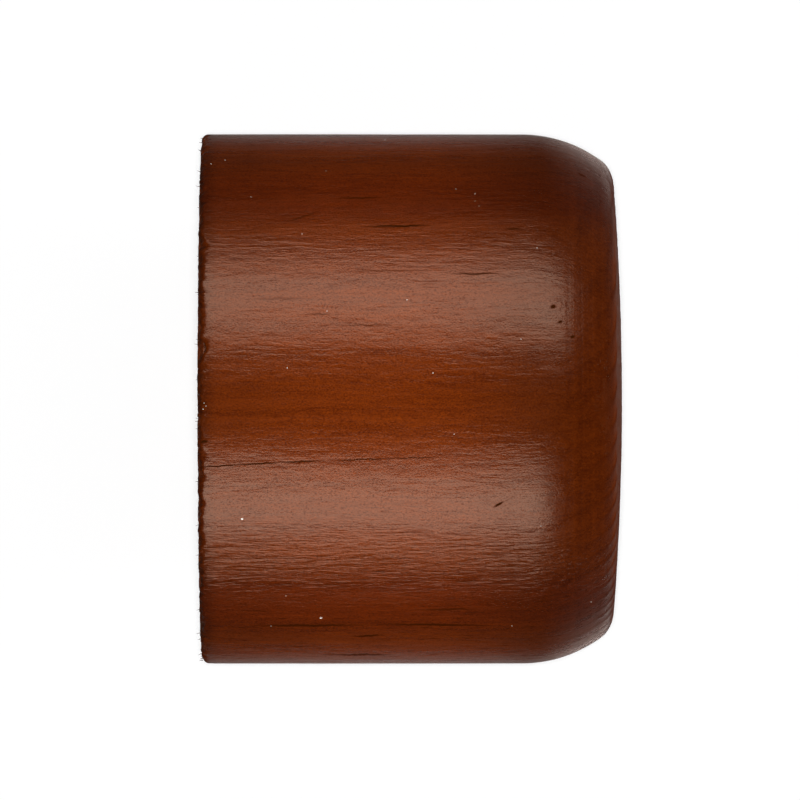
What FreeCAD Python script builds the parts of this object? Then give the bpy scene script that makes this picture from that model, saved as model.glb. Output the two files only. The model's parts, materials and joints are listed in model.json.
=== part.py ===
import FreeCAD, Part
import math
import os

# End-cap finial for a wooden curtain pole, turned from one piece of wood.
# Lengths are in millimetres and angles in degrees. The turning axis is X.
# The open mouth lies on X = 0, the domed nose points to +X, and Z is up.

# The pole and the socket that takes its end
pole_diameter = 28.0
pole_clearance = 0.5         # on the diameter
socket_depth = 20.0
socket_chamfer = 0.4         # lead-in at the mouth, at 45 degrees

# The barrel
wall_thickness = 5.75
mouth_edge_radius = 0.5      # eased outer edge of the mouth

# The nose: a wide shoulder arc, a tight corner arc and a slightly domed end
nose_thickness = 11.7        # solid wood from the socket's floor to the tip
shoulder_radius = 10.0
shoulder_turn = 36.0         # how far the shoulder arc turns before the corner arc takes over
corner_radius = 2.4
dome_radius = 212.0

# Sizes that follow from those above
socket_radius = (pole_diameter + pole_clearance) / 2
barrel_radius = socket_radius + wall_thickness
overall_length = socket_depth + nose_thickness


def section_point(x, r):
    """A point of the half section: x along the turning axis, r out from it."""
    return FreeCAD.Vector(x, 0, r)


def arc_point(centre, radius, angle):
    """A point on an arc of the half section. The angle is 0 outwards and 90 towards the nose."""
    turn = math.radians(angle)
    return section_point(centre.x + radius * math.sin(turn), centre.z + radius * math.cos(turn))


def section_arc(centre, radius, start, end):
    """The arc of the half section about a centre, from one angle to another."""
    middle = (start + end) / 2
    points = [arc_point(centre, radius, angle) for angle in (start, middle, end)]
    return Part.Arc(*points).toShape()


def chain(edges):
    """Close the gaps between edges, and the gap from the last to the first, with straight lines."""
    closed = []
    for edge, following in zip(edges, edges[1:] + edges[:1]):
        closed.append(edge)
        end = edge.lastVertex(True).Point
        start = following.firstVertex(True).Point
        if not end.isEqual(start, Part.Precision.confusion()):
            closed.append(Part.LineSegment(end, start).toShape())
    return Part.Wire(closed)


def nose_arcs():
    """The shoulder, the corner and the dome, each tangent to the next."""
    corner_centre_r = (
        barrel_radius - shoulder_radius
        + (shoulder_radius - corner_radius) * math.cos(math.radians(shoulder_turn))
    )
    dome_centre = section_point(overall_length - dome_radius, 0)
    dome_reach = dome_radius - corner_radius
    dome_half_angle = math.degrees(math.asin(corner_centre_r / dome_reach))
    dome_start = 90 - dome_half_angle
    corner_centre = arc_point(dome_centre, dome_reach, dome_start)
    shoulder_centre = arc_point(corner_centre, corner_radius - shoulder_radius, shoulder_turn)
    return [
        section_arc(shoulder_centre, shoulder_radius, 0, shoulder_turn),
        section_arc(corner_centre, corner_radius, shoulder_turn, dome_start),
        section_arc(dome_centre, dome_radius, dome_start, 90),
    ]


def finial_cap():
    """The half section, from the socket's floor round the mouth to the tip, turned about the axis."""
    socket_points = [
        section_point(socket_depth, 0),
        section_point(socket_depth, socket_radius),
        section_point(socket_chamfer, socket_radius),
        section_point(0, socket_radius + socket_chamfer),
    ]
    socket_lines = Part.makePolygon(socket_points).Edges
    mouth_edge_centre = section_point(mouth_edge_radius, barrel_radius - mouth_edge_radius)
    mouth_edge = section_arc(mouth_edge_centre, mouth_edge_radius, -90, 0)
    half_section = Part.Face(chain(socket_lines + [mouth_edge] + nose_arcs()))
    return half_section.revolve(FreeCAD.Vector(0, 0, 0), FreeCAD.Vector(1, 0, 0), 360)


parts = {"finial_cap": finial_cap()}

os.makedirs("parts", exist_ok=True)
for node, shape in parts.items():
    if not shape.isValid() or len(shape.Solids) != 1:
        raise ValueError(node + " is not one valid solid")
    shape.exportStep("parts/" + node + ".step")
    box = shape.optimalBoundingBox()
    print(node, "volume", round(shape.Volume, 2), "mm3")
    print("size", round(box.XLength, 3), round(box.YLength, 3), round(box.ZLength, 3), "mm")
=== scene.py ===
"""A turned wooden end cap for a curtain pole, with its finish, its flaws and a plain stage."""
import json
import math
import random

import bpy
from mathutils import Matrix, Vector

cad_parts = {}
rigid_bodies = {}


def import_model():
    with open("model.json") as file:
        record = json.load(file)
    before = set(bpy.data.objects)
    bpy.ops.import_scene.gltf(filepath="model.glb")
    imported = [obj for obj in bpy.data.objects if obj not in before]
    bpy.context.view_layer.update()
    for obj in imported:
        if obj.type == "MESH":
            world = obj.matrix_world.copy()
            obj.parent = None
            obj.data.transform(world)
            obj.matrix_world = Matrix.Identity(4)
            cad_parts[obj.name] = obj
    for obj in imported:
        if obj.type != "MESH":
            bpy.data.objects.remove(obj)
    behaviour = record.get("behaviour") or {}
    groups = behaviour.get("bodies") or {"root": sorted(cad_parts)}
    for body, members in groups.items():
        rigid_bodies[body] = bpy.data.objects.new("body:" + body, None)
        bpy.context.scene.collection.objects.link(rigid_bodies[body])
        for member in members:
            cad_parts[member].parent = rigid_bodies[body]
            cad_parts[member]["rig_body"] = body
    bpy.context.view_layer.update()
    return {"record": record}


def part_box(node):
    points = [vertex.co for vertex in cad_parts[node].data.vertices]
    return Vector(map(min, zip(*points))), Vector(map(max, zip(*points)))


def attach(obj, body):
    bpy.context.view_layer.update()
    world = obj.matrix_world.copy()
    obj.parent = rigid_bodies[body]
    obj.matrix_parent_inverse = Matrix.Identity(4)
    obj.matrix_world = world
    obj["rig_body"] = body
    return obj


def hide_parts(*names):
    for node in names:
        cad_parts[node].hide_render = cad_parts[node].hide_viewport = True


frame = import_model()

bl_info = {
    "name": "Turned curtain pole finial",
    "version": (1, 0, 0),
    "blender": (4, 5, 0),
    "location": "View3D > Sidebar > Finial",
    "description": "Builds a stained and lacquered wooden end cap for a curtain pole, and its stage",
    "category": "Object",
}

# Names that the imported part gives
NODE = "finial_cap"
BODY = "root"

MM = 0.001
PER_MM = 1000.0

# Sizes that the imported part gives
cap_low, cap_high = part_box(NODE)
pole_socket = next(mount for mount in frame["record"]["mounts"] if mount["name"] == "pole_socket")

# The camera hangs straight over the cap; the picture is square, and its scale is that of the axis
PICTURE_SIDE = 800
SENSOR = 36.0
CAMERA_HEIGHT = 0.82
CAMERA_PLACE = (0.01498, -0.00008)
PIXELS_PER_METRE = 13225.0

# The stage in metres: the floor shows shadows near the cap's foot, and is plain white past the zone
FLOOR_GAP = 0.1 * MM
SHADOW_ZONE = (0.018, 0.044)
LAMP_DISTANCE = 0.9

# Share of a softbox's width over which each end fades
FADED_END = 0.2

# Softboxes: name, lean to +Y in degrees, shift to +X by distance, width, height, share of brightness
SOFTBOXES = (
    ("upper_softbox", 43.5, 0.085, 1.27, 0.5, 1.0),
    ("lower_softbox", -46.5, -0.075, 0.94, 0.48, 1.2),
)

# Lamps that leave no gloss: name, way from the cap, side, the stage's light that it takes, share of it
FILL_LAMPS = (
    ("overhead_lamp", (0, 0, 1), 0.03, "overhead", 1.0),
    ("nose_fill", (1, 0, 0.15), 0.2, "end_fill", 1.0),
    ("mouth_fill", (-1, 0, 0.15), 0.2, "end_fill", 0.5),
    ("upper_fill", (0, 1, 0.18), 0.2, "side_fill", 0.65),
    ("lower_fill", (0, -1, 0.18), 0.2, "side_fill", 1.35),
)

# Patterns in the finish: repeats per mm along the grain and across it
GRAIN_DRIFT = (0.035, 0.11)
RING_DRIFT = (0.0, 0.2)
BANDS = (0.012, 0.28)
STREAKS = (0.06, 1.2)
FIBRE_LINES = (0.35, 5.0)
RIPPLES = (0.55, 3.9)
PORE_CELLS = (0.5, 3.0)
PEEL = (6.5, 8.5)
LUMPS = (0.75, 1.5)
PATCHES = (0.12, 0.4)
SCALLOPS = (0.2, 1.5)
FLAW_SHAKES = (1.8, 0.4)

# Patterns in the shape, in the same way
WAVES = (0.06, 0.4)
LOW_RIPPLES = (0.2, 1.1)
RIM_HOLLOWS = (0.3, 0.75)
RIM_SPLITS = (0.3, 1.7)
SAW_MARKS = (0.0, 1.0)
WAVE_HEIGHT = 0.05 * MM

# Zones of the finish in mm, each from where it is nothing to where it is whole: first along X
MOUTH_ZONE = (11.0, 0.8)
RIM_ZONE = (1.6, 0.2)
SAWN_EDGE = (0.3, -0.05)
CRACK_LIP_LENGTH = (12.0, 4.0)

# Then along Y, and out from the middle to both sides
UPPER_SIDE = (-1.0, 1.0)
LOW_SIDE = (-9.0, -13.0)
CRACK_LIP_FOOT = (-6.4, -3.4)
CRACK_LIP_SLOPE = (7.0, -3.4)
COARSE_START = (8.6, 11.6)
COARSE_END = (16.4, 12.8)
# Painted shade: the flanks between the gloss bands and the outline are darker, as a zone in mm
PAINTED_SHADE_MIDDLE = 15.2
PAINTED_SHADE_REACH = (3.2, 0.6)
# Painted light: the colour is lighter along the outline, as a zone in mm
PAINTED_LIGHT_ZONE = (17.4, 19.8)

# And as shares of the cap's length
SHOULDER_ZONE = (0.5, 0.9)
FUZZY_ZONE = (0.6, 0.8)

# Flaws seen from above, as picture places: name, start, end, half width in mm, darkness
FLAWS = (
    ("crack at the mouth", (190, 468), (250, 464), 0.08, 1.0),
    ("crack past the mouth", (226, 465.5), (292, 462), 0.085, 1.0),
    ("crack in the middle", (268, 463.2), (330, 460.3), 0.08, 1.0),
    ("crack running on", (325, 460.6), (400, 458.2), 0.06, 1.0),
    ("crack running out", (370, 459), (452, 457), 0.055, 0.9),
    ("pit in the rim", (200, 442), (208, 441), 0.16, 1.0),
    ("chip in the rim", (199, 404), (206, 403), 0.2, 0.8),
    ("long vessel", (336, 271.5), (444, 270), 0.08, 0.6),
    ("dark vessel", (447, 274), (506, 273.5), 0.1, 0.9),
    ("short vessel", (503, 229), (525, 229), 0.1, 0.9),
    ("stained streak", (246, 299), (316, 298), 0.14, 0.28),
    ("streak's heart", (276, 298.5), (298, 298.3), 0.12, 0.35),
    ("upper vessel", (356, 226.5), (440, 225.5), 0.11, 1.0),
    ("topmost vessel", (330, 198.5), (388, 197.5), 0.1, 0.8),
    ("fine vessel", (304, 314.5), (334, 314), 0.08, 0.6),
    ("finer vessel", (335, 325.5), (394, 325), 0.08, 0.6),
    ("low vessel", (240, 626), (375, 625), 0.12, 0.9),
    ("low vessel beyond", (365, 624), (505, 625.5), 0.11, 0.9),
    ("torn vessel", (350, 636.5), (387, 635), 0.1, 0.9),
    ("slanting scratch", (283, 223.5), (321, 210.5), 0.08, 0.8),
    ("low streak", (415, 610), (480, 609), 0.1, 0.8),
    ("lowest streak", (320, 655), (400, 654.5), 0.1, 0.8),
    ("dent", (493.5, 507), (504, 501.5), 0.13, 1.0),
    ("dent's tail", (500, 503.5), (520, 494), 0.05, 0.4),
    ("nick on the shoulder", (577, 172.5), (587, 178), 0.09, 0.8),
    ("upper speck", (552, 307.5), (554.5, 306), 0.21, 1.0),
    ("middle speck", (559, 322.5), (561.5, 321), 0.15, 1.0),
    ("lower speck", (571, 337.5), (574, 336), 0.17, 1.0),
)

# How far a flaw wavers and how deep it reaches, in mm
FLAW_SHAKE = 0.22
FLAW_REACH = 3.0

# Dust caught in the lacquer, as picture places
DUST = (
    (225, 160), (211, 164), (251, 197), (302, 234), (385, 140), (326, 171), (456, 189), (475, 194),
    (475, 201), (479, 206), (537, 248), (407, 300), (287, 368), (521, 339), (433, 373), (454, 434),
    (204, 403), (206, 406), (203, 409), (286, 596), (271, 626), (541, 526), (512, 626), (327, 311),
    (591, 602),
)
LARGE_DUST = ((321, 618), (242, 519))
DUST_RADII_MM = (0.03, 0.052)
LARGE_DUST_RADIUS = 0.1 * MM
DUST_SEED = 11

# Dust on the side that the picture doesn't show: shares of the length, and half turns from the top
SPARE_DUST = 60
SPARE_DUST_SPAN = (0.05, 0.95)
SPARE_DUST_TURN = (0.55, 1.45)

# Torn fibres at the mouth: their seat, in from the barrel by shares of the eased edge, and their lean
FIBRES = 46
FIBRE_SEED = 5
FIBRE_SEAT = 0.12 * MM
FIBRE_INSET = (0.3, 0.9)
FIBRE_TWIST = (-0.6, 0.6)
FIBRE_SPREAD = (0.1, 0.7)
FIBRE_LENGTHS_MM = (0.15, 0.4)
FIBRE_THICKNESS = 0.03 * MM

# Edges sharper than this stay crisp, and points nearer than this are one
SHARP_ANGLE = math.radians(38)
SAME_POINT = 0.0001 * MM


class FinialSizes(bpy.types.PropertyGroup):
    """Sizes of the turned cap."""

    length: bpy.props.FloatProperty(
        name="Length", description="From the mouth to the tip of the nose",
        default=cap_high.x - cap_low.x, unit="LENGTH", precision=5,
    )
    barrel_radius: bpy.props.FloatProperty(
        name="Barrel radius", description="Outside radius of the plain barrel",
        default=(cap_high.y - cap_low.y) / 2, unit="LENGTH", precision=5,
    )
    socket_radius: bpy.props.FloatProperty(
        name="Socket radius", description="Radius of the bore that takes the pole",
        default=pole_socket["dims"]["r_mm"] * MM, unit="LENGTH", precision=5,
    )
    socket_chamfer: bpy.props.FloatProperty(
        name="Socket chamfer", description="Lead-in at the socket's mouth",
        default=0.4 * MM, unit="LENGTH", precision=5,
    )
    socket_wall: bpy.props.FloatProperty(
        name="Socket wall", description="Length of the socket's plain wall",
        default=pole_socket["dims"]["length_mm"] * MM, unit="LENGTH", precision=5,
    )
    mouth_edge: bpy.props.FloatProperty(
        name="Mouth edge", description="Radius of the eased outer edge of the mouth",
        default=0.5 * MM, unit="LENGTH", precision=5,
    )
    shoulder_radius: bpy.props.FloatProperty(
        name="Shoulder radius", description="Radius of the wide arc that leaves the barrel",
        default=10 * MM, unit="LENGTH", precision=5,
    )
    shoulder_turn: bpy.props.FloatProperty(
        name="Shoulder turn", description="How far the shoulder arc turns before the corner arc",
        default=math.radians(36), subtype="ANGLE",
    )
    corner_radius: bpy.props.FloatProperty(
        name="Corner radius", description="Radius of the tight arc that rolls onto the end",
        default=2.4 * MM, unit="LENGTH", precision=5,
    )
    dome_radius: bpy.props.FloatProperty(
        name="Dome radius", description="Radius of the slight crown of the end",
        default=212 * MM, unit="LENGTH", precision=5,
    )
    segments: bpy.props.IntProperty(
        name="Segments", description="Facets round the turned cap", default=740, min=48,
    )


class FinialWood(bpy.types.PropertyGroup):
    """Colours and surface of the stained wood."""

    stain_light: bpy.props.FloatVectorProperty(
        name="Light stain", description="Stain on the pale fibres",
        default=(0.238, 0.037, 0.0012), subtype="COLOR", size=3,
    )
    stain_dark: bpy.props.FloatVectorProperty(
        name="Dark stain", description="Stain on the dense fibres",
        default=(0.092, 0.011, 0.0003), subtype="COLOR", size=3,
    )
    groove_stain: bpy.props.FloatProperty(
        name="Groove stain", description="How much of the dark stain stays between the raised fibres",
        default=0.22, subtype="FACTOR",
    )
    pore: bpy.props.FloatVectorProperty(
        name="Pore", description="Stain gathered in pores and cracks",
        default=(0.036, 0.008, 0.001), subtype="COLOR", size=3,
    )
    ring_spacing: bpy.props.FloatProperty(
        name="Ring spacing", description="Width of a growth ring",
        default=1.35 * MM, unit="LENGTH", precision=5,
    )
    pith: bpy.props.FloatVectorProperty(
        name="Pith", description="A point on the line that the growth rings go round, beside the cap",
        default=(0, -39 * MM, -27 * MM), subtype="TRANSLATION", size=3, precision=4,
    )
    lacquer_tint: bpy.props.FloatVectorProperty(
        name="Lacquer tint", description="Amber cast of the lacquer's gloss",
        default=(1.0, 0.7, 0.52), subtype="COLOR", size=3,
    )
    roughness: bpy.props.FloatProperty(
        name="Lacquer roughness", description="Roughness of the satin lacquer",
        default=0.28, subtype="FACTOR",
    )
    raised_grain: bpy.props.FloatProperty(
        name="Raised grain", description="Height of the fine ripples in the lacquer",
        default=0.025 * MM, unit="LENGTH", precision=6,
    )
    orange_peel: bpy.props.FloatProperty(
        name="Orange peel", description="Height of the pebbled texture of the dried lacquer",
        default=0.016 * MM, unit="LENGTH", precision=6,
    )
    lacquer_lumps: bpy.props.FloatProperty(
        name="Lacquer lumps", description="Height of the soft unevenness of the lacquer",
        default=0.03 * MM, unit="LENGTH", precision=6,
    )
    ring_ridges: bpy.props.FloatProperty(
        name="Ring ridges", description="Height of the growth rings where the end grain shows",
        default=0.04 * MM, unit="LENGTH", precision=6,
    )
    rim_wear: bpy.props.FloatProperty(
        name="Rim wear", description="Depth of the hollows along the mouth's edge",
        default=0.32 * MM, unit="LENGTH", precision=6,
    )
    saw_dents: bpy.props.FloatProperty(
        name="Saw dents", description="Depth of the dents in the mouth's sawn face",
        default=0.35 * MM, unit="LENGTH", precision=6,
    )


class FinialStage(bpy.types.PropertyGroup):
    """Lamps and floor."""

    glow_near: bpy.props.FloatProperty(
        name="Floor glow by the cap", description="How bright the floor looks in the cap's shadow",
        default=0.66, subtype="FACTOR",
    )
    glow_far: bpy.props.FloatProperty(
        name="Floor glow away from the cap", description="How bright the floor looks farther off",
        default=0.985, subtype="FACTOR",
    )
    floor_near: bpy.props.FloatVectorProperty(
        name="Floor by the cap", description="What the floor gives back of the lamps' light under the cap",
        default=(0.34, 0.34, 0.34), subtype="COLOR", size=3,
    )
    floor_far: bpy.props.FloatVectorProperty(
        name="Floor away from the cap", description="What the floor gives back farther off",
        default=(0.02, 0.02, 0.02), subtype="COLOR", size=3,
    )
    softbox: bpy.props.FloatProperty(
        name="Softbox brightness", description="Radiance of the two softboxes", default=2.45,
    )
    overhead: bpy.props.FloatProperty(
        name="Overhead light", description="Light of the lamp above, which leaves no gloss", default=0.86,
    )
    end_fill: bpy.props.FloatProperty(
        name="End fill", description="Light of the two lamps along the axis, which leave no gloss",
        default=0.5,
    )
    side_fill: bpy.props.FloatProperty(
        name="Side fill", description="Light of the two low lamps at the sides, which leave no gloss",
        default=0.22,
    )
    fill: bpy.props.FloatProperty(
        name="Fill", description="Radiance of the room round the stage, without gloss", default=0.03,
    )


class Wire:
    """An output socket that takes part in sums: each operation adds a Math node."""

    def __init__(self, bench, socket):
        self.bench = bench
        self.socket = socket

    def __add__(self, other):
        return self.bench.math("ADD", self, other)

    def __radd__(self, other):
        return self.bench.math("ADD", other, self)

    def __sub__(self, other):
        return self.bench.math("SUBTRACT", self, other)

    def __rsub__(self, other):
        return self.bench.math("SUBTRACT", other, self)

    def __mul__(self, other):
        return self.bench.math("MULTIPLY", self, other)

    def __rmul__(self, other):
        return self.bench.math("MULTIPLY", other, self)

    def __truediv__(self, other):
        return self.bench.math("DIVIDE", self, other)

    def __rtruediv__(self, other):
        return self.bench.math("DIVIDE", other, self)


class Bench:
    """A node tree being built, for a finish, a lamp or a shape."""

    def __init__(self, tree):
        self.tree = tree

    def find(self, sockets, key):
        """The live socket of that name, or the one at that place."""
        if isinstance(key, int):
            return sockets[key]
        return next(socket for socket in sockets if socket.enabled and socket.name == key)

    def add(self, kind, settings=None, sockets=None):
        """A node of that type: its settings first, then the values or links of its sockets."""
        node = self.tree.nodes.new(kind)
        for name, value in (settings or {}).items():
            setattr(node, name, value)
        for key, value in (sockets or {}).items():
            socket = self.find(node.inputs, key)
            if isinstance(value, Wire):
                self.tree.links.new(value.socket, socket)
            else:
                socket.default_value = value
        return node

    def wire(self, kind, settings=None, sockets=None, output=0):
        """One output of a new node."""
        node = self.add(kind, settings, sockets)
        return Wire(self, self.find(node.outputs, output))

    def math(self, operation, *values, clamp=False):
        settings = {"operation": operation, "use_clamp": clamp}
        return self.wire("ShaderNodeMath", settings, dict(enumerate(values)))

    def vector(self, operation, *values):
        return self.wire("ShaderNodeVectorMath", {"operation": operation}, dict(enumerate(values)))

    def scaled(self, vector, factor):
        sockets = {"Vector": vector, "Scale": factor}
        return self.wire("ShaderNodeVectorMath", {"operation": "SCALE"}, sockets)

    def length(self, vector):
        return self.wire("ShaderNodeVectorMath", {"operation": "LENGTH"}, {0: vector}, "Value")

    def noise(self, point, detail, roughness=0.5):
        """Smooth noise from about 0 to 1, with one bump for each unit of the point."""
        sockets = {"Vector": point, "Scale": 1.0, "Detail": detail, "Roughness": roughness}
        return self.wire("ShaderNodeTexNoise", {"noise_dimensions": "3D"}, sockets, "Fac")

    def smooth(self, value, low, high):
        """0 up to low, 1 past high, and a soft slope between; it falls where high is below low."""
        ends = {"From Min": low, "From Max": high}
        if low > high:
            ends = {"From Min": high, "From Max": low, "To Min": 1.0, "To Max": 0.0}
        settings = {"interpolation_type": "SMOOTHSTEP"}
        return self.wire("ShaderNodeMapRange", settings, {"Value": value, **ends}, "Result")

    def mixed(self, factor, first, second, blend="MIX"):
        settings = {"data_type": "RGBA", "blend_type": blend}
        sockets = {"Factor": factor, "A": first, "B": second}
        return self.wire("ShaderNodeMix", settings, sockets, "Result")

    def xyz(self, vector):
        node = self.add("ShaderNodeSeparateXYZ", sockets={"Vector": vector})
        return [Wire(self, output) for output in node.outputs]

    def combine(self, x, y, z):
        return self.wire("ShaderNodeCombineXYZ", sockets={"X": x, "Y": y, "Z": z})


# Geometry of the half section: x along the turning axis, r out from it


def on_arc(centre, radius, angle):
    """A point on an arc of the half section. The angle is 0 outwards and a right angle to the nose."""
    return centre + radius * Vector((math.sin(angle), math.cos(angle)))


def line_run(start, end, steps):
    """Points along a straight run, without its last."""
    return [start.lerp(end, step / steps) for step in range(steps)]


def arc_run(centre, radius, start, end, steps):
    """Points along an arc, without its last."""
    return [on_arc(centre, radius, start + (end - start) * step / steps) for step in range(steps)]


def half_section(sizes):
    """Points from the socket's floor round the mouth to the tip, each with its share of lacquer."""
    right_angle = math.pi / 2
    depth = sizes.socket_wall + sizes.socket_chamfer
    floor_centre = Vector((depth, 0))
    floor_edge = Vector((depth, sizes.socket_radius))
    wall_end = Vector((sizes.socket_chamfer, sizes.socket_radius))
    mouth_inside = Vector((0, sizes.socket_radius + sizes.socket_chamfer))
    mouth_outside = Vector((0, sizes.barrel_radius - sizes.mouth_edge))
    edge_centre = Vector((sizes.mouth_edge, sizes.barrel_radius - sizes.mouth_edge))
    barrel_start = Vector((sizes.mouth_edge, sizes.barrel_radius))
    rim_end = Vector((sizes.mouth_edge * 4, sizes.barrel_radius))

    corner_reach = sizes.shoulder_radius - sizes.corner_radius
    corner_r = sizes.barrel_radius - sizes.shoulder_radius + corner_reach * math.cos(sizes.shoulder_turn)
    dome_centre = Vector((sizes.length - sizes.dome_radius, 0))
    dome_reach = sizes.dome_radius - sizes.corner_radius
    dome_start = right_angle - math.asin(corner_r / dome_reach)
    corner_centre = on_arc(dome_centre, dome_reach, dome_start)
    shoulder_centre = on_arc(corner_centre, -corner_reach, sizes.shoulder_turn)
    barrel_end = Vector((shoulder_centre.x, sizes.barrel_radius))

    # Each run's share of lacquer, and its points in so many steps
    runs = (
        (0.0, line_run(floor_centre, floor_edge, 6)),
        (0.0, line_run(floor_edge, wall_end, 7)),
        (0.2, line_run(wall_end, mouth_inside, 2)),
        (0.35, line_run(mouth_inside, mouth_outside, 12)),
        (0.8, arc_run(edge_centre, sizes.mouth_edge, -right_angle, 0, 6)),
        (1.0, line_run(barrel_start, rim_end, 8)),
        (1.0, line_run(rim_end, barrel_end, 20)),
        (1.0, arc_run(shoulder_centre, sizes.shoulder_radius, 0, sizes.shoulder_turn, 18)),
        (1.0, arc_run(corner_centre, sizes.corner_radius, sizes.shoulder_turn, dome_start, 9)),
        (1.0, arc_run(dome_centre, sizes.dome_radius, dome_start, right_angle, 38)),
    )
    points = [point for lacquer, run in runs for point in run] + [Vector((sizes.length, 0))]
    lacquers = [lacquer for lacquer, run in runs for point in run] + [1.0]
    return points, lacquers


def outward(points, index):
    """The way out of the wood at a point of the half section."""
    before = points[max(index - 1, 0)]
    after = points[min(index + 1, len(points) - 1)]
    along = (after - before).normalized()
    return Vector((-along.y, along.x))


def outside_radius(sizes, x):
    """Outside radius of the cap at a distance from its mouth."""
    points, lacquers = half_section(sizes)
    outside = [point for point, lacquer in zip(points, lacquers) if lacquer == 1.0]
    for near, far in zip(outside, outside[1:]):
        if near.x <= x <= far.x:
            return near.lerp(far, (x - near.x) / (far.x - near.x)).y
    return sizes.barrel_radius


def under_pixel(sizes, place):
    """The point of the cap's upper side that a picture place shows, and the way out of the wood there."""
    focal = PIXELS_PER_METRE * CAMERA_HEIGHT
    across = (place[0] - PICTURE_SIDE / 2) / focal
    up = (PICTURE_SIDE / 2 - place[1]) / focal
    step = 0.2 * MM
    rounds = 6
    z = 0.0
    for _ in range(rounds):
        x = CAMERA_PLACE[0] + across * (CAMERA_HEIGHT - z)
        y = CAMERA_PLACE[1] + up * (CAMERA_HEIGHT - z)
        radius = outside_radius(sizes, x)
        z = math.sqrt(max(radius * radius - y * y, 0.0))
    slope = (outside_radius(sizes, x + step) - outside_radius(sizes, x - step)) / (2 * step)
    way_out = Vector((-slope, y / radius, z / radius)).normalized()
    return Vector((x, y, z)), way_out


# The wood's own pattern, shared by its shape and its finish


def stretched(bench, point, along, across):
    """Squeeze space so that a pattern comes out long with the grain; both are repeats per mm."""
    return bench.vector("MULTIPLY", point, (along, across, across))


def grain_point(bench, point):
    """The point, moved a little, so that the grain wanders instead of running dead straight."""
    drift = bench.noise(stretched(bench, point, *GRAIN_DRIFT), detail=3.0, roughness=0.55) - 0.5
    return bench.vector("ADD", point, bench.combine(0.0, drift * 2.0, drift * -1.4))


def off_line(bench, vector):
    """How far a vector reaches out from a line along X."""
    return bench.length(stretched(bench, vector, 0.0, 1.0))


def ring_place(bench, grain, pith, spacing):
    """How far a point is through its growth ring, from 0 to 1."""
    from_pith = off_line(bench, bench.vector("SUBTRACT", grain, pith))
    uneven = bench.noise(stretched(bench, grain, *RING_DRIFT), detail=1.0)
    return bench.math("FRACT", from_pith / spacing + (uneven - 0.5) * 0.9)


def late_wood(bench, place):
    """How dense the wood is through a growth ring: it climbs to 1 near the ring's end, then drops."""
    return bench.smooth(place, 0.35, 0.88) * bench.smooth(place, 1.0, 0.9)


# Finishes


def new_material(name):
    """An empty node material and the bench to build it on."""
    material = bpy.data.materials.new(name)
    material.use_nodes = True
    material.node_tree.nodes.clear()
    return material, Bench(material.node_tree)


def finish_material(bench, shader):
    """Give the material its shader."""
    bench.add("ShaderNodeOutputMaterial", sockets={"Surface": shader})


def flaw_mask(bench, point, sizes):
    """How dark the cracks, vessels and specks are, from 0 to 1: each is a thin lens in the surface."""
    shake = bench.noise(stretched(bench, point, *FLAW_SHAKES), detail=2.0, roughness=0.65) - 0.5
    shaken = bench.vector("ADD", point, bench.combine(0.0, shake * FLAW_SHAKE, 0.0))
    dark = 0.0
    for name, start, end, half_width, darkness in FLAWS:
        start_point = under_pixel(sizes, start)[0] * PER_MM
        end_point = under_pixel(sizes, end)[0] * PER_MM
        along = end_point - start_point
        half_length = along.length / 2 + half_width
        lens = bench.wire("ShaderNodeMapping", {"vector_type": "TEXTURE", "label": name}, {
            "Vector": shaken,
            "Location": (start_point + end_point) / 2,
            "Rotation": along.to_track_quat("X", "Z").to_euler(),
            "Scale": (half_length, half_width, FLAW_REACH),
        })
        sockets = {"Value": bench.length(lens), "From Min": 1.0, "From Max": 0.45, "To Max": darkness}
        mask = bench.wire("ShaderNodeMapRange", None, sockets, "Result")
        dark = bench.math("MAXIMUM", dark, mask)
    return dark


def kept_number(bench, name):
    """A number that the shape keeps at each of its points."""
    return bench.wire("ShaderNodeAttribute", {"attribute_name": name}, output="Fac")


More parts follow.
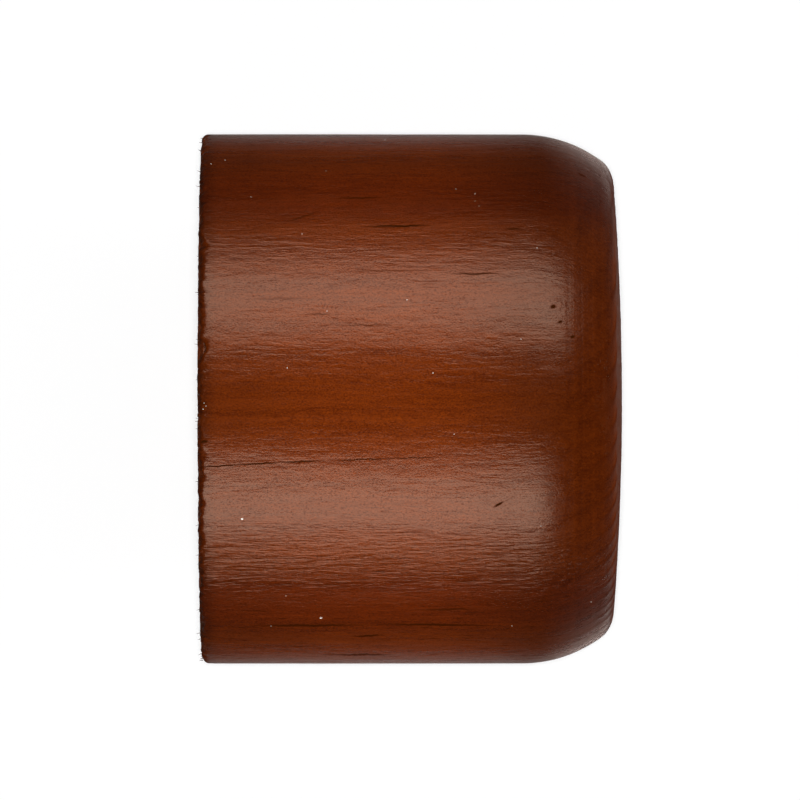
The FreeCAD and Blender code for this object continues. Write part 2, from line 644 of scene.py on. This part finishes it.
class WoodPattern:
    """Places and patterns that the wood's colour, hollows and relief share, with lengths in mm."""

    def __init__(self, bench, wood):
        place = bench.wire("ShaderNodeTexCoord", output="Object")
        point = bench.scaled(place, PER_MM)
        grain = grain_point(bench, point)
        self.point = point
        self.grain = grain
        self.x, self.y, _ = bench.xyz(point)
        self.aside = bench.math("ABSOLUTE", self.y)

        # Where the end grain shows, where the end is flat, and how bare of lacquer the wood is
        self.end_grain = kept_number(bench, "end_grain")
        self.on_end = bench.smooth(self.end_grain, 0.1, 0.55)
        self.on_face = bench.smooth(self.end_grain, 0.8, 0.97)
        lacquer = kept_number(bench, "lacquer")
        self.bare = 1.0 - lacquer
        self.outer = bench.smooth(lacquer, 0.4, 0.6)

        # Streaks along the grain, from broad bands to single fibres, and the pebbled lacquer
        self.bands = bench.noise(stretched(bench, grain, *BANDS), detail=1.0)
        self.streaks = bench.noise(stretched(bench, grain, *STREAKS), detail=2.0, roughness=0.6)
        self.fibres = bench.noise(stretched(bench, grain, *FIBRE_LINES), detail=2.0, roughness=0.7)
        self.ripples = bench.noise(stretched(bench, grain, *RIPPLES), detail=2.0, roughness=0.6) - 0.5
        self.grooves = bench.smooth(self.ripples, -0.1, -0.26)
        self.peel = bench.noise(stretched(bench, point, *PEEL), detail=1.0, roughness=0.6) - 0.5

        # Growth rings, and the fine lines that turning leaves
        pith = tuple(Vector(wood.pith) * PER_MM)
        self.late = late_wood(bench, ring_place(bench, grain, pith, wood.ring_spacing * PER_MM))
        along_section = self.x - off_line(bench, point)
        self.turned = bench.wire("ShaderNodeTexNoise", {"noise_dimensions": "1D"}, {
            "W": along_section, "Scale": 0.9, "Detail": 2.0, "Roughness": 0.6,
        }, "Fac") - 0.5

        # The sawn and worn rim, the coarse grain of the flanks and the low side
        scallop = bench.noise(stretched(bench, point, *SCALLOPS), detail=2.0, roughness=0.65)
        sawn = bench.smooth(self.x - (scallop - 0.42) * 1.4, *SAWN_EDGE) * 0.7
        worn = bench.smooth(kept_number(bench, "worn"), 0.35, 0.8)
        self.rim = bench.math("MAXIMUM", sawn, worn) * (self.outer * 0.7 + 0.3)
        coarse = bench.smooth(self.aside, *COARSE_START) * bench.smooth(self.aside, *COARSE_END)
        self.coarse = coarse * (1.0 - bench.smooth(self.y, *UPPER_SIDE) * 0.8)
        self.low_side = bench.smooth(self.y, *LOW_SIDE)


def stain_tone(bench, pattern):
    """How light the stain is, from 0 on dense fibres to 1 on pale ones."""
    ring_line = pattern.late * (0.05 + pattern.on_end * 0.1 + pattern.on_face * 0.35)
    tone = (
        0.5
        + (pattern.bands - 0.5) * 0.35
        + (pattern.streaks - 0.5) * 0.55
        + (pattern.fibres - 0.5) * 0.85
        + pattern.peel * 1.5
        + pattern.ripples * 0.4
        + pattern.turned * (pattern.on_end - pattern.on_face) * 0.8
        - ring_line
        + pattern.on_face * 0.3
        + pattern.bare * 0.4
    )
    return bench.math("ADD", tone, 0.0, clamp=True)


def colour_left_with_painted_light(bench, pattern, length):
    """What is left of the colour: less at the mouth, rim and shoulder, less along the flanks as painted
    shade, and more at the outline as painted light.
    """
    at_mouth = bench.smooth(pattern.x, *MOUTH_ZONE)
    at_rim = bench.smooth(pattern.x, *RIM_ZONE) * pattern.outer
    shoulder_start, shoulder_end = SHOULDER_ZONE
    wandering = pattern.x + (pattern.bands - 0.5) * 3.0
    at_shoulder = bench.smooth(wandering, length * shoulder_start, length * shoulder_end)
    # Painted shade along the flanks, and painted light along the outline
    painted_flank_shade = bench.smooth(bench.math("ABSOLUTE", pattern.aside - PAINTED_SHADE_MIDDLE), *PAINTED_SHADE_REACH)
    painted_outline_light = bench.smooth(pattern.aside, *PAINTED_LIGHT_ZONE)
    left = (
        (1.0 - at_mouth * 0.22)
        * (1.0 - at_rim * 0.42)
        * (1.0 - painted_flank_shade * 0.2 + painted_outline_light * 0.6)
        * (1.0 - at_shoulder * (0.55 - pattern.on_face * 0.25))
        * (1.0 - pattern.rim * 0.72)
    )
    # Painted shade: green and blue fall further along the flanks, so the painted shade there is redder
    redder = left * (1.0 - painted_flank_shade * 0.16)
    return bench.combine(left, redder, redder)


def pore_mask(bench, pattern):
    """Pores: short dark dashes along the grain, dots on the end."""
    cells = bench.add("ShaderNodeTexVoronoi", {"voronoi_dimensions": "3D"}, {
        "Vector": stretched(bench, pattern.grain, *PORE_CELLS), "Scale": 1.0,
    })
    chance = bench.xyz(Wire(bench, cells.outputs["Color"]))[0]
    pores = bench.smooth(Wire(bench, cells.outputs["Distance"]), 0.17, 0.05)
    return pores * bench.smooth(chance, 0.6, 0.8)


def relief_height(bench, pattern, wood):
    """Relief in mm: fibres, pebbled and uneven lacquer, turning lines, rings, crack's lip, sawn rim."""
    lumps = bench.noise(stretched(bench, pattern.point, *LUMPS), detail=1.0) - 0.5
    patches = bench.noise(stretched(bench, pattern.point, *PATCHES), detail=2.0, roughness=0.6)
    patchy = bench.smooth(patches, 0.38, 0.66) * 0.95 + 0.25 + pattern.coarse * 2.2
    crests = bench.smooth(pattern.ripples, 0.05, 0.2) * (pattern.coarse * 0.3 + 0.05)
    fibre_height = pattern.ripples + crests - pattern.grooves * 0.12
    crack_lip = (
        bench.smooth(pattern.x, *CRACK_LIP_LENGTH)
        * bench.smooth(pattern.y, *CRACK_LIP_FOOT)
        * bench.smooth(pattern.y, *CRACK_LIP_SLOPE)
    )
    return (
        fibre_height * patchy * (wood.raised_grain * PER_MM) * (1.0 - pattern.on_end * 0.5)
        + pattern.peel * (wood.orange_peel * PER_MM)
        + lumps * (wood.lacquer_lumps * PER_MM)
        + pattern.turned * (pattern.on_end * 0.03 + pattern.bare * 0.06)
        + pattern.late * pattern.on_face * 0.02
        + crack_lip * 0.07
        - pattern.rim * 0.06
    )


def lacquered_wood(bench, pattern, sizes, wood):
    """Stained wood under satin lacquer, with more of a fuzz of fibres round the end."""
    length = sizes.length * PER_MM
    colour = bench.mixed(stain_tone(bench, pattern), (*wood.stain_dark, 1), (*wood.stain_light, 1))
    # The colour takes painted shade along the flanks and painted light along the outline from what is left
    # of it
    colour = bench.mixed(1.0, colour, colour_left_with_painted_light(bench, pattern, length), "MULTIPLY")
    roughness = (
        wood.roughness
        + (pattern.streaks - 0.5) * 0.08
        + pattern.bare * 0.35
        + pattern.rim * 0.15
        + pattern.on_face * 0.22
    )
    height = relief_height(bench, pattern, wood)
    satin = {
        "Base Color": colour,
        "Roughness": roughness,
        "IOR": 1.45,
        "Specular IOR Level": 1.0,
        "Specular Tint": (*wood.lacquer_tint, 1),
        "Sheen Roughness": 0.35,
        "Normal": bench.wire("ShaderNodeBump", None, {"Strength": 1.0, "Distance": MM, "Height": height}),
    }
    side = bench.wire("ShaderNodeBsdfPrincipled", None, {
        **satin, "Sheen Weight": 0.015, "Sheen Tint": (1.0, 0.6, 0.4, 1),
    })
    end = bench.wire("ShaderNodeBsdfPrincipled", None, {
        **satin, "Sheen Weight": 0.25, "Sheen Tint": (1.0, 0.78, 0.7, 1),
    })
    fuzzy_start, fuzzy_end = FUZZY_ZONE
    at_end = pattern.on_end * bench.smooth(pattern.x, length * fuzzy_start, length * fuzzy_end)
    fuzzy = at_end * (0.03 + bench.smooth(pattern.end_grain, 0.97, 0.7) * 0.97)
    return bench.wire("ShaderNodeMixShader", None, {0: fuzzy, 1: side, 2: end})


def wood_finish(sizes, wood):
    """Lacquered wood with dull dark stain in its flaws, pores, grooves and the pits of the lacquer."""
    material, bench = new_material("stained_wood")
    pattern = WoodPattern(bench, wood)
    flaws = flaw_mask(bench, pattern.point, sizes)
    grooves = pattern.grooves * ((1.0 + pattern.low_side * 2.0) * wood.groove_stain)
    pits = bench.smooth(pattern.peel, -0.02, -0.3)
    dark = bench.math("MAXIMUM", flaws, pore_mask(bench, pattern) * 0.3 + grooves + pits * 0.42)
    depth_of_pore = bench.math("MAXIMUM", flaws, pattern.low_side * 0.75)
    hollow = bench.wire("ShaderNodeBsdfPrincipled", None, {
        "Base Color": bench.mixed(depth_of_pore, (*wood.stain_dark, 1), (*wood.pore, 1)),
        "Roughness": 1.0,
        "Specular IOR Level": 0.0,
    })
    whole = lacquered_wood(bench, pattern, sizes, wood)
    finish_material(bench, bench.wire("ShaderNodeMixShader", None, {0: dark, 1: whole, 2: hollow}))
    return material


def speckled_finish(name, repeats, first, second, roughness, unevenness):
    """Two colours in small patches, so many to the metre, and rougher where the second shows."""
    material, bench = new_material(name)
    place = bench.wire("ShaderNodeTexCoord", output="Object")
    patch = bench.noise(bench.scaled(place, repeats), detail=1.0)
    shader = bench.wire("ShaderNodeBsdfPrincipled", None, {
        "Base Color": bench.mixed(patch, (*first, 1), (*second, 1)),
        "Roughness": roughness + patch * unevenness,
    })
    finish_material(bench, shader)
    return material


def dust_finish():
    """Pale specks of dust sunk in the lacquer."""
    return speckled_finish("lacquer_dust", 9000.0, (0.85, 0.76, 0.66), (1.0, 0.97, 0.93), 0.25, 0.1)


def fibre_finish(wood):
    """Torn fibres, stained like the wood."""
    return speckled_finish("torn_fibre", 2500.0, wood.pore, wood.stain_dark, 0.4, 0.2)


# Shapes


def new_tree(name, inputs):
    """A shape tree with a geometry input and output and named inputs, and the bench to build it on."""
    tree = bpy.data.node_groups.new(name, "GeometryNodeTree")
    tree.interface.new_socket("Geometry", in_out="OUTPUT", socket_type="NodeSocketGeometry")
    tree.interface.new_socket("Geometry", in_out="INPUT", socket_type="NodeSocketGeometry")
    for socket_name, socket_type in inputs:
        tree.interface.new_socket(socket_name, in_out="INPUT", socket_type=socket_type)
    bench = Bench(tree)
    group_input = bench.add("NodeGroupInput")
    given = {socket.name: Wire(bench, socket) for socket in group_input.outputs if socket.name}
    return tree, bench, given


def end_tree(bench, geometry, material):
    """Close a shape tree: real faces, with their finish."""
    real = bench.wire("GeometryNodeRealizeInstances", None, {"Geometry": geometry})
    painted = bench.wire("GeometryNodeSetMaterial", None, {"Geometry": real, "Material": material})
    bench.add("NodeGroupOutput", sockets={"Geometry": painted})


def named(bench, name, data_type="FLOAT"):
    """The value of an attribute of that name."""
    settings = {"data_type": data_type}
    return bench.wire("GeometryNodeInputNamedAttribute", settings, {"Name": name}, "Attribute")


def stored(bench, geometry, name, value):
    """The geometry with a number kept at each point for its finish."""
    settings = {"data_type": "FLOAT", "domain": "POINT"}
    sockets = {"Geometry": geometry, "Name": name, "Value": value}
    return bench.wire("GeometryNodeStoreNamedAttribute", settings, sockets)


def turning_tree(rows):
    """Turn a half section about X and roughen it: waves, raised grain, ring ridges, a worn and sawn rim."""
    tree, bench, given = new_tree("turned_wood", (
        ("Segments", "NodeSocketInt"),
        ("Raised grain", "NodeSocketFloat"),
        ("Ring ridges", "NodeSocketFloat"),
        ("Ring spacing", "NodeSocketFloat"),
        ("Pith", "NodeSocketVector"),
        ("Rim wear", "NodeSocketFloat"),
        ("Rim radius", "NodeSocketFloat"),
        ("Saw dents", "NodeSocketFloat"),
        ("Wood", "NodeSocketMaterial"),
    ))
    columns = given["Segments"] + 1
    grid = bench.wire("GeometryNodeMeshGrid", None, {"Vertices X": rows, "Vertices Y": columns}, "Mesh")
    index = bench.wire("GeometryNodeInputIndex")
    row = bench.math("FLOOR", (index + 0.5) / columns)
    column = index - row * columns
    angle = column / given["Segments"] * math.tau

    def sampled(value, data_type):
        settings = {"data_type": data_type, "domain": "POINT"}
        sockets = {"Geometry": given["Geometry"], "Value": value, "Index": row}
        return bench.wire("GeometryNodeSampleIndex", settings, sockets, "Value")

    def turned(vector):
        x, r, _ = bench.xyz(vector)
        return bench.combine(x, r * bench.math("SINE", angle), r * bench.math("COSINE", angle))

    profile = bench.wire("GeometryNodeInputPosition")
    place = turned(sampled(profile, "FLOAT_VECTOR"))
    way_out = turned(sampled(named(bench, "way_out", "FLOAT_VECTOR"), "FLOAT_VECTOR"))
    lacquer = sampled(named(bench, "lacquer"), "FLOAT")
    end_grain = bench.math("ABSOLUTE", bench.xyz(way_out)[0])

    point = bench.scaled(place, PER_MM)
    x = bench.xyz(point)[0]
    grain = grain_point(bench, point)
    outside = bench.smooth(lacquer, 0.5, 0.8)
    on_side = outside * bench.smooth(end_grain, 0.7, 0.2)
    on_end = outside * bench.smooth(end_grain, 0.3, 0.85) * bench.smooth(x, 4.0, 6.0)
    waves = bench.noise(stretched(bench, point, *WAVES), detail=1.0) - 0.5
    ripples = bench.noise(stretched(bench, grain, *LOW_RIPPLES), detail=1.0) - 0.5
    place_in_ring = ring_place(
        bench, grain, bench.scaled(given["Pith"], PER_MM), given["Ring spacing"] * PER_MM
    )
    ridges = late_wood(bench, place_in_ring) - 0.4
    from_rim = given["Rim radius"] * PER_MM - off_line(bench, point)
    near_rim = bench.smooth(x, 0.9, 0.05) * bench.smooth(from_rim, 1.4, 0.4)
    hollows = bench.noise(stretched(bench, point, *RIM_HOLLOWS), detail=3.0, roughness=0.6)
    splits = bench.noise(stretched(bench, point, *RIM_SPLITS), detail=1.0)
    worn = near_rim * (bench.smooth(hollows, 0.42, 0.75) * 0.6 + bench.smooth(splits, 0.48, 0.72) * 0.5)
    height = (
        waves * outside * WAVE_HEIGHT
        + ripples * on_side * (given["Raised grain"] * 0.5)
        + ridges * on_end * given["Ring ridges"]
        - worn * given["Rim wear"]
    )
    sawn = bench.noise(stretched(bench, point, *SAW_MARKS), detail=2.0, roughness=0.6)
    at_mouth = bench.smooth(x, 1.2, 0.0) * bench.smooth(lacquer, 0.1, 0.3)
    saw_dents = bench.smooth(sawn, 0.42, 0.75) * at_mouth * given["Saw dents"]
    roughened = bench.vector("ADD", place, bench.scaled(way_out, height))
    roughened = bench.vector("ADD", roughened, bench.combine(saw_dents, 0.0, 0.0))

    cap = bench.wire("GeometryNodeSetPosition", None, {"Geometry": grid, "Position": roughened})
    cap = stored(bench, cap, "end_grain", end_grain)
    cap = stored(bench, cap, "lacquer", lacquer)
    cap = stored(bench, cap, "worn", worn)
    cap = bench.wire("GeometryNodeMergeByDistance", None, {"Geometry": cap, "Distance": SAME_POINT})
    end_tree(bench, cap, given["Wood"])
    return tree


def stood_on_points(bench, given, shape, scale):
    """A copy of a shape on each given point, turned the way that the point says."""
    way_out = named(bench, "way_out", "FLOAT_VECTOR")
    turned = bench.wire("FunctionNodeAlignRotationToVector", {"axis": "Z"}, {"Vector": way_out})
    sockets = {"Points": given["Geometry"], "Instance": shape, "Rotation": turned, "Scale": scale}
    return bench.wire("GeometryNodeInstanceOnPoints", None, sockets)


def dust_tree():
    """Set a flattened grain of dust on each point, lying on the wood."""
    tree, bench, given = new_tree("dust_grains", (("Dust", "NodeSocketMaterial"),))
    grain = bench.wire("GeometryNodeMeshIcoSphere", None, {"Radius": 1.0, "Subdivisions": 2}, "Mesh")
    size = named(bench, "size")
    scale = bench.combine(size, size * 0.8, size * 0.6)
    end_tree(bench, stood_on_points(bench, given, grain, scale), given["Dust"])
    return tree


def fibre_tree():
    """Stand a tapered fibre on each point, leaning the way that the point says."""
    tree, bench, given = new_tree("torn_fibres", (
        ("Thickness", "NodeSocketFloat"),
        ("Fibre", "NodeSocketMaterial"),
    ))
    sockets = {"Vertices": 7, "Side Segments": 3, "Radius Top": 0.25, "Radius Bottom": 1.0, "Depth": 1.0}
    cone = bench.wire("GeometryNodeMeshCone", None, sockets, "Mesh")
    scale = bench.combine(given["Thickness"], given["Thickness"], named(bench, "size"))
    end_tree(bench, stood_on_points(bench, given, cone, scale), given["Fibre"])
    return tree


def grown(name, seeds, tree, inputs):
    """Run a shape tree on a mesh and keep the result as one plain object."""
    piece = bpy.data.objects.new(name, seeds)
    bpy.context.scene.collection.objects.link(piece)
    modifier = piece.modifiers.new(name, "NODES")
    modifier.node_group = tree
    for item in tree.interface.items_tree:
        if item.in_out == "INPUT" and item.name in inputs:
            modifier[item.identifier] = inputs[item.name]
    depsgraph = bpy.context.evaluated_depsgraph_get()
    mesh = bpy.data.meshes.new_from_object(
        piece.evaluated_get(depsgraph), preserve_all_data_layers=True, depsgraph=depsgraph
    )
    piece.modifiers.remove(modifier)
    piece.data = mesh
    bpy.data.meshes.remove(seeds)
    if not mesh.polygons:
        raise RuntimeError(name + " has no faces")
    return piece


def seed_mesh(name, places, ways_out, edges=(), **values):
    """Points with a way out and other numbers at each."""
    mesh = bpy.data.meshes.new(name)
    mesh.from_pydata(places, edges, [])
    direction = mesh.attributes.new("way_out", "FLOAT_VECTOR", "POINT")
    direction.data.foreach_set("vector", [number for way in ways_out for number in way])
    for value_name, numbers in values.items():
        mesh.attributes.new(value_name, "FLOAT", "POINT").data.foreach_set("value", numbers)
    return mesh


def hand_over(piece):
    """Fix a finished piece to the part."""
    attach(piece, BODY)


class FINIAL_OT_turned_cap(bpy.types.Operator):
    """Turn the cap from its half section and finish it as stained, lacquered wood"""

    bl_idname = "finial.turned_cap"
    bl_label = "Turned cap"

    def execute(self, context):
        sizes = context.scene.finial_sizes
        wood = context.scene.finial_wood
        points, lacquers = half_section(sizes)
        places = [(point.x, point.y, 0) for point in points]
        ways_out = [(*outward(points, index), 0) for index in range(len(points))]
        edges = [(index, index + 1) for index in range(len(points) - 1)]
        section = seed_mesh("half_section", places, ways_out, edges, lacquer=lacquers)
        cap = grown("turned_cap", section, turning_tree(len(points)), {
            "Segments": sizes.segments,
            "Raised grain": wood.raised_grain,
            "Ring ridges": wood.ring_ridges,
            "Ring spacing": wood.ring_spacing,
            "Pith": wood.pith,
            "Rim wear": wood.rim_wear,
            "Rim radius": sizes.barrel_radius,
            "Saw dents": wood.saw_dents,
            "Wood": wood_finish(sizes, wood),
        })
        cap.data.shade_smooth()
        cap.data.set_sharp_from_angle(angle=SHARP_ANGLE)
        hand_over(cap)
        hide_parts(NODE)
        return {"FINISHED"}


class FINIAL_OT_lacquer_dust(bpy.types.Operator):
    """Scatter the grains of dust that dried in the lacquer"""

    bl_idname = "finial.lacquer_dust"
    bl_label = "Lacquer dust"

    def execute(self, context):
        sizes = context.scene.finial_sizes
        chance = random.Random(DUST_SEED)
        seats = [under_pixel(sizes, place) for place in LARGE_DUST + DUST]
        for _ in range(SPARE_DUST):
            x = chance.uniform(*SPARE_DUST_SPAN) * sizes.length
            angle = chance.uniform(*SPARE_DUST_TURN) * math.pi
            radius = outside_radius(sizes, x)
            place = Vector((x, radius * math.sin(angle), radius * math.cos(angle)))
            seats.append((place, Vector((0, math.sin(angle), math.cos(angle)))))
        grains = [chance.uniform(*DUST_RADII_MM) * MM for _ in seats]
        grains[:len(LARGE_DUST)] = [LARGE_DUST_RADIUS for _ in LARGE_DUST]
        seeds = seed_mesh(
            "dust_places", [place for place, _ in seats], [way for _, way in seats], size=grains
        )
        dust = grown("lacquer_dust", seeds, dust_tree(), {"Dust": dust_finish()})
        dust.data.shade_smooth()
        hand_over(dust)
        return {"FINISHED"}


class FINIAL_OT_rim_fibres(bpy.types.Operator):
    """Set the torn fibres along the mouth's sawn edge"""

    bl_idname = "finial.rim_fibres"
    bl_label = "Rim fibres"

    def execute(self, context):
        sizes = context.scene.finial_sizes
        chance = random.Random(FIBRE_SEED)
        places = []
        ways_out = []
        lengths = []
        for _ in range(FIBRES):
            angle = chance.uniform(0, math.tau)
            radius = sizes.barrel_radius - chance.uniform(*FIBRE_INSET) * sizes.mouth_edge
            places.append((FIBRE_SEAT, radius * math.sin(angle), radius * math.cos(angle)))
            lean = angle + chance.uniform(*FIBRE_TWIST)
            out = chance.uniform(*FIBRE_SPREAD)
            ways_out.append(Vector((-1, out * math.sin(lean), out * math.cos(lean))).normalized())
            lengths.append(chance.uniform(*FIBRE_LENGTHS_MM) * MM)
        seeds = seed_mesh("fibre_places", places, ways_out, size=lengths)
        fibres = grown("rim_fibres", seeds, fibre_tree(), {
            "Thickness": FIBRE_THICKNESS,
            "Fibre": fibre_finish(context.scene.finial_wood),
        })
        fibres.data.shade_smooth()
        hand_over(fibres)
        return {"FINISHED"}


# Stage


def floor_finish(stage):
    """White to the camera and in reflections, and darker where the cap keeps the lamps off it."""
    material, bench = new_material("pale_floor")
    rays = bench.add("ShaderNodeLightPath")
    seen = (
        Wire(bench, rays.outputs["Is Camera Ray"])
        + Wire(bench, rays.outputs["Is Glossy Ray"])
        + Wire(bench, rays.outputs["Is Transmission Ray"])
    )
    place = bench.wire("ShaderNodeTexCoord", output="Object")
    from_cap = bench.vector("SUBTRACT", place, (CAMERA_PLACE[0], 0, cap_low.z))
    far = bench.smooth(bench.length(from_cap), *SHADOW_ZONE)
    brightness = far * (stage.glow_far - stage.glow_near) + stage.glow_near
    glow = bench.wire("ShaderNodeEmission", None, {
        "Color": (1, 1, 1, 1),
        "Strength": bench.math("MULTIPLY", seen, 1.0, clamp=True) * brightness,
    })
    colour = bench.mixed(far, (*stage.floor_near, 1), (*stage.floor_far, 1))
    matt = bench.wire("ShaderNodeBsdfDiffuse", None, {"Color": colour})
    finish_material(bench, bench.wire("ShaderNodeAddShader", None, {0: glow, 1: matt}))
    return material


def cove(stage, height):
    """A round floor that curves up into a wall, so that every view ends on the same white."""
    flat_radius = 1.3
    bend_radius = 0.5
    wall_height = 0.9
    bend_steps = 12
    around = 96
    rings = [(flat_radius * share, 0.0) for share in (0.05, 0.25, 1.0)]
    for step in range(1, bend_steps + 1):
        turn = math.pi / 2 * step / bend_steps
        rings.append((flat_radius + bend_radius * math.sin(turn), bend_radius * (1 - math.cos(turn))))
    rings.append((flat_radius + bend_radius, wall_height))
    places = [(0, 0, height)]
    for radius, rise in rings:
        for step in range(around):
            turn = math.tau * step / around
            places.append((radius * math.cos(turn), radius * math.sin(turn), height + rise))
    faces = [(0, 1 + step, 1 + (step + 1) % around) for step in range(around)]
    for ring in range(len(rings) - 1):
        inner = 1 + ring * around
        outer = inner + around
        for step in range(around):
            following = (step + 1) % around
            faces.append((inner + step, outer + step, outer + following, inner + following))
    mesh = bpy.data.meshes.new("floor")
    mesh.from_pydata(places, [], faces)
    mesh.shade_smooth()
    mesh.materials.append(floor_finish(stage))
    floor = bpy.data.objects.new("floor", mesh)
    bpy.context.scene.collection.objects.link(floor)
    return floor


def keep_glow_off(floor, pieces):
    """Leave the pieces out of what the floor's glow lights, so that the lacquer shows the lamps alone."""
    left_out = bpy.data.collections.new("left_out_of_glow")
    floor.light_linking.receiver_collection = left_out
    for piece in pieces:
        left_out.objects.link(piece)
    for entry in left_out.collection_objects:
        entry.light_linking.link_state = "EXCLUDE"


def hung_lamp(name, way, width, height, energy):
    """A flat lamp hung from the cap along a way, and facing it."""
    aim = Vector((CAMERA_PLACE[0], 0, 0))
    lamp = bpy.data.lights.new(name, "AREA")
    lamp.shape = "RECTANGLE"
    lamp.size = width
    lamp.size_y = height
    lamp.energy = energy
    stand = bpy.data.objects.new(name, lamp)
    stand.location = aim + way * LAMP_DISTANCE
    stand.rotation_euler = way.to_track_quat("Z", "Y").to_euler()
    bpy.context.scene.collection.objects.link(stand)
    return stand


def fade_ends(lamp):
    """Let a lamp's cloth front grow dim towards its two ends."""
    lamp.use_nodes = True
    lamp.node_tree.nodes.clear()
    bench = Bench(lamp.node_tree)
    across = bench.xyz(bench.wire("ShaderNodeNewGeometry", output="Parametric"))[0]
    from_end = 0.5 - bench.math("ABSOLUTE", across - 0.5)
    front = bench.wire("ShaderNodeEmission", None, {"Strength": bench.smooth(from_end, 0.0, FADED_END)})
    bench.add("ShaderNodeOutputLight", sockets={"Surface": front})


def softbox(name, tilt, shift, width, height, radiance):
    """A broad lamp that shows in the lacquer alone, leaned towards +Y and shifted along X."""
    way = Vector((shift, math.sin(tilt), math.cos(tilt))).normalized()
    lamp = hung_lamp(name, way, width, height, radiance * math.pi * width * height)
    lamp.visible_diffuse = False
    fade_ends(lamp.data)


def fill_lamp(name, way, side, light):
    """A small lamp that leaves no gloss; the light is what a white face turned to it gives back."""
    lamp = hung_lamp(name, Vector(way).normalized(), side, side, light * (math.pi * LAMP_DISTANCE) ** 2)
    lamp.visible_glossy = False


class FINIAL_OT_stage(bpy.types.Operator):
    """Lay the floor, hang the lamps and set the camera"""

    bl_idname = "finial.stage"
    bl_label = "Stage"

    def execute(self, context):
        stage = context.scene.finial_stage
        floor = cove(stage, cap_low.z - FLOOR_GAP)
        keep_glow_off(floor, [piece for piece in context.scene.objects if "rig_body" in piece])
        for name, lean, shift, width, height, share in SOFTBOXES:
            softbox(name, math.radians(lean), shift, width, height, stage.softbox * share)
        for name, way, side, light, share in FILL_LAMPS:
            fill_lamp(name, way, side, getattr(stage, light) * share)

        world = bpy.data.worlds.new("room")
        world.use_nodes = True
        background = world.node_tree.nodes["Background"]
        background.inputs["Color"].default_value = (1, 1, 1, 1)
        background.inputs["Strength"].default_value = stage.fill
        context.scene.world = world
        world.cycles_visibility.glossy = False

        camera = bpy.data.cameras.new("camera")
        camera.sensor_width = SENSOR
        camera.lens = PIXELS_PER_METRE * CAMERA_HEIGHT * SENSOR / PICTURE_SIDE
        stand = bpy.data.objects.new("camera", camera)
        stand.location = (*CAMERA_PLACE, CAMERA_HEIGHT)
        context.scene.collection.objects.link(stand)
        context.scene.camera = stand
        context.scene.view_settings.view_transform = "Standard"
        return {"FINISHED"}


class FINIAL_PT_workshop(bpy.types.Panel):
    """Sizes, finish and stage of the finial, and the steps that build it"""

    bl_label = "Curtain pole finial"
    bl_space_type = "VIEW_3D"
    bl_region_type = "UI"
    bl_category = "Finial"

    def draw(self, context):
        for group in (context.scene.finial_sizes, context.scene.finial_wood, context.scene.finial_stage):
            box = self.layout.box()
            for name in group.__annotations__:
                box.prop(group, name)
        for operator in OPERATORS:
            self.layout.operator(operator.bl_idname)


GROUPS = {
    "finial_sizes": FinialSizes,
    "finial_wood": FinialWood,
    "finial_stage": FinialStage,
}
OPERATORS = (
    FINIAL_OT_turned_cap,
    FINIAL_OT_lacquer_dust,
    FINIAL_OT_rim_fibres,
    FINIAL_OT_stage,
)


def register():
    for name, group in GROUPS.items():
        bpy.utils.register_class(group)
        setattr(bpy.types.Scene, name, bpy.props.PointerProperty(type=group))
    for operator in OPERATORS:
        bpy.utils.register_class(operator)
    bpy.utils.register_class(FINIAL_PT_workshop)


def unregister():
    bpy.utils.unregister_class(FINIAL_PT_workshop)
    for operator in reversed(OPERATORS):
        bpy.utils.unregister_class(operator)
    for name, group in GROUPS.items():
        delattr(bpy.types.Scene, name)
        bpy.utils.unregister_class(group)


def main():
    register()
    bpy.ops.finial.turned_cap()
    bpy.ops.finial.lacquer_dust()
    bpy.ops.finial.rim_fibres()
    bpy.ops.finial.stage()


if __name__ == "__main__":
    main()
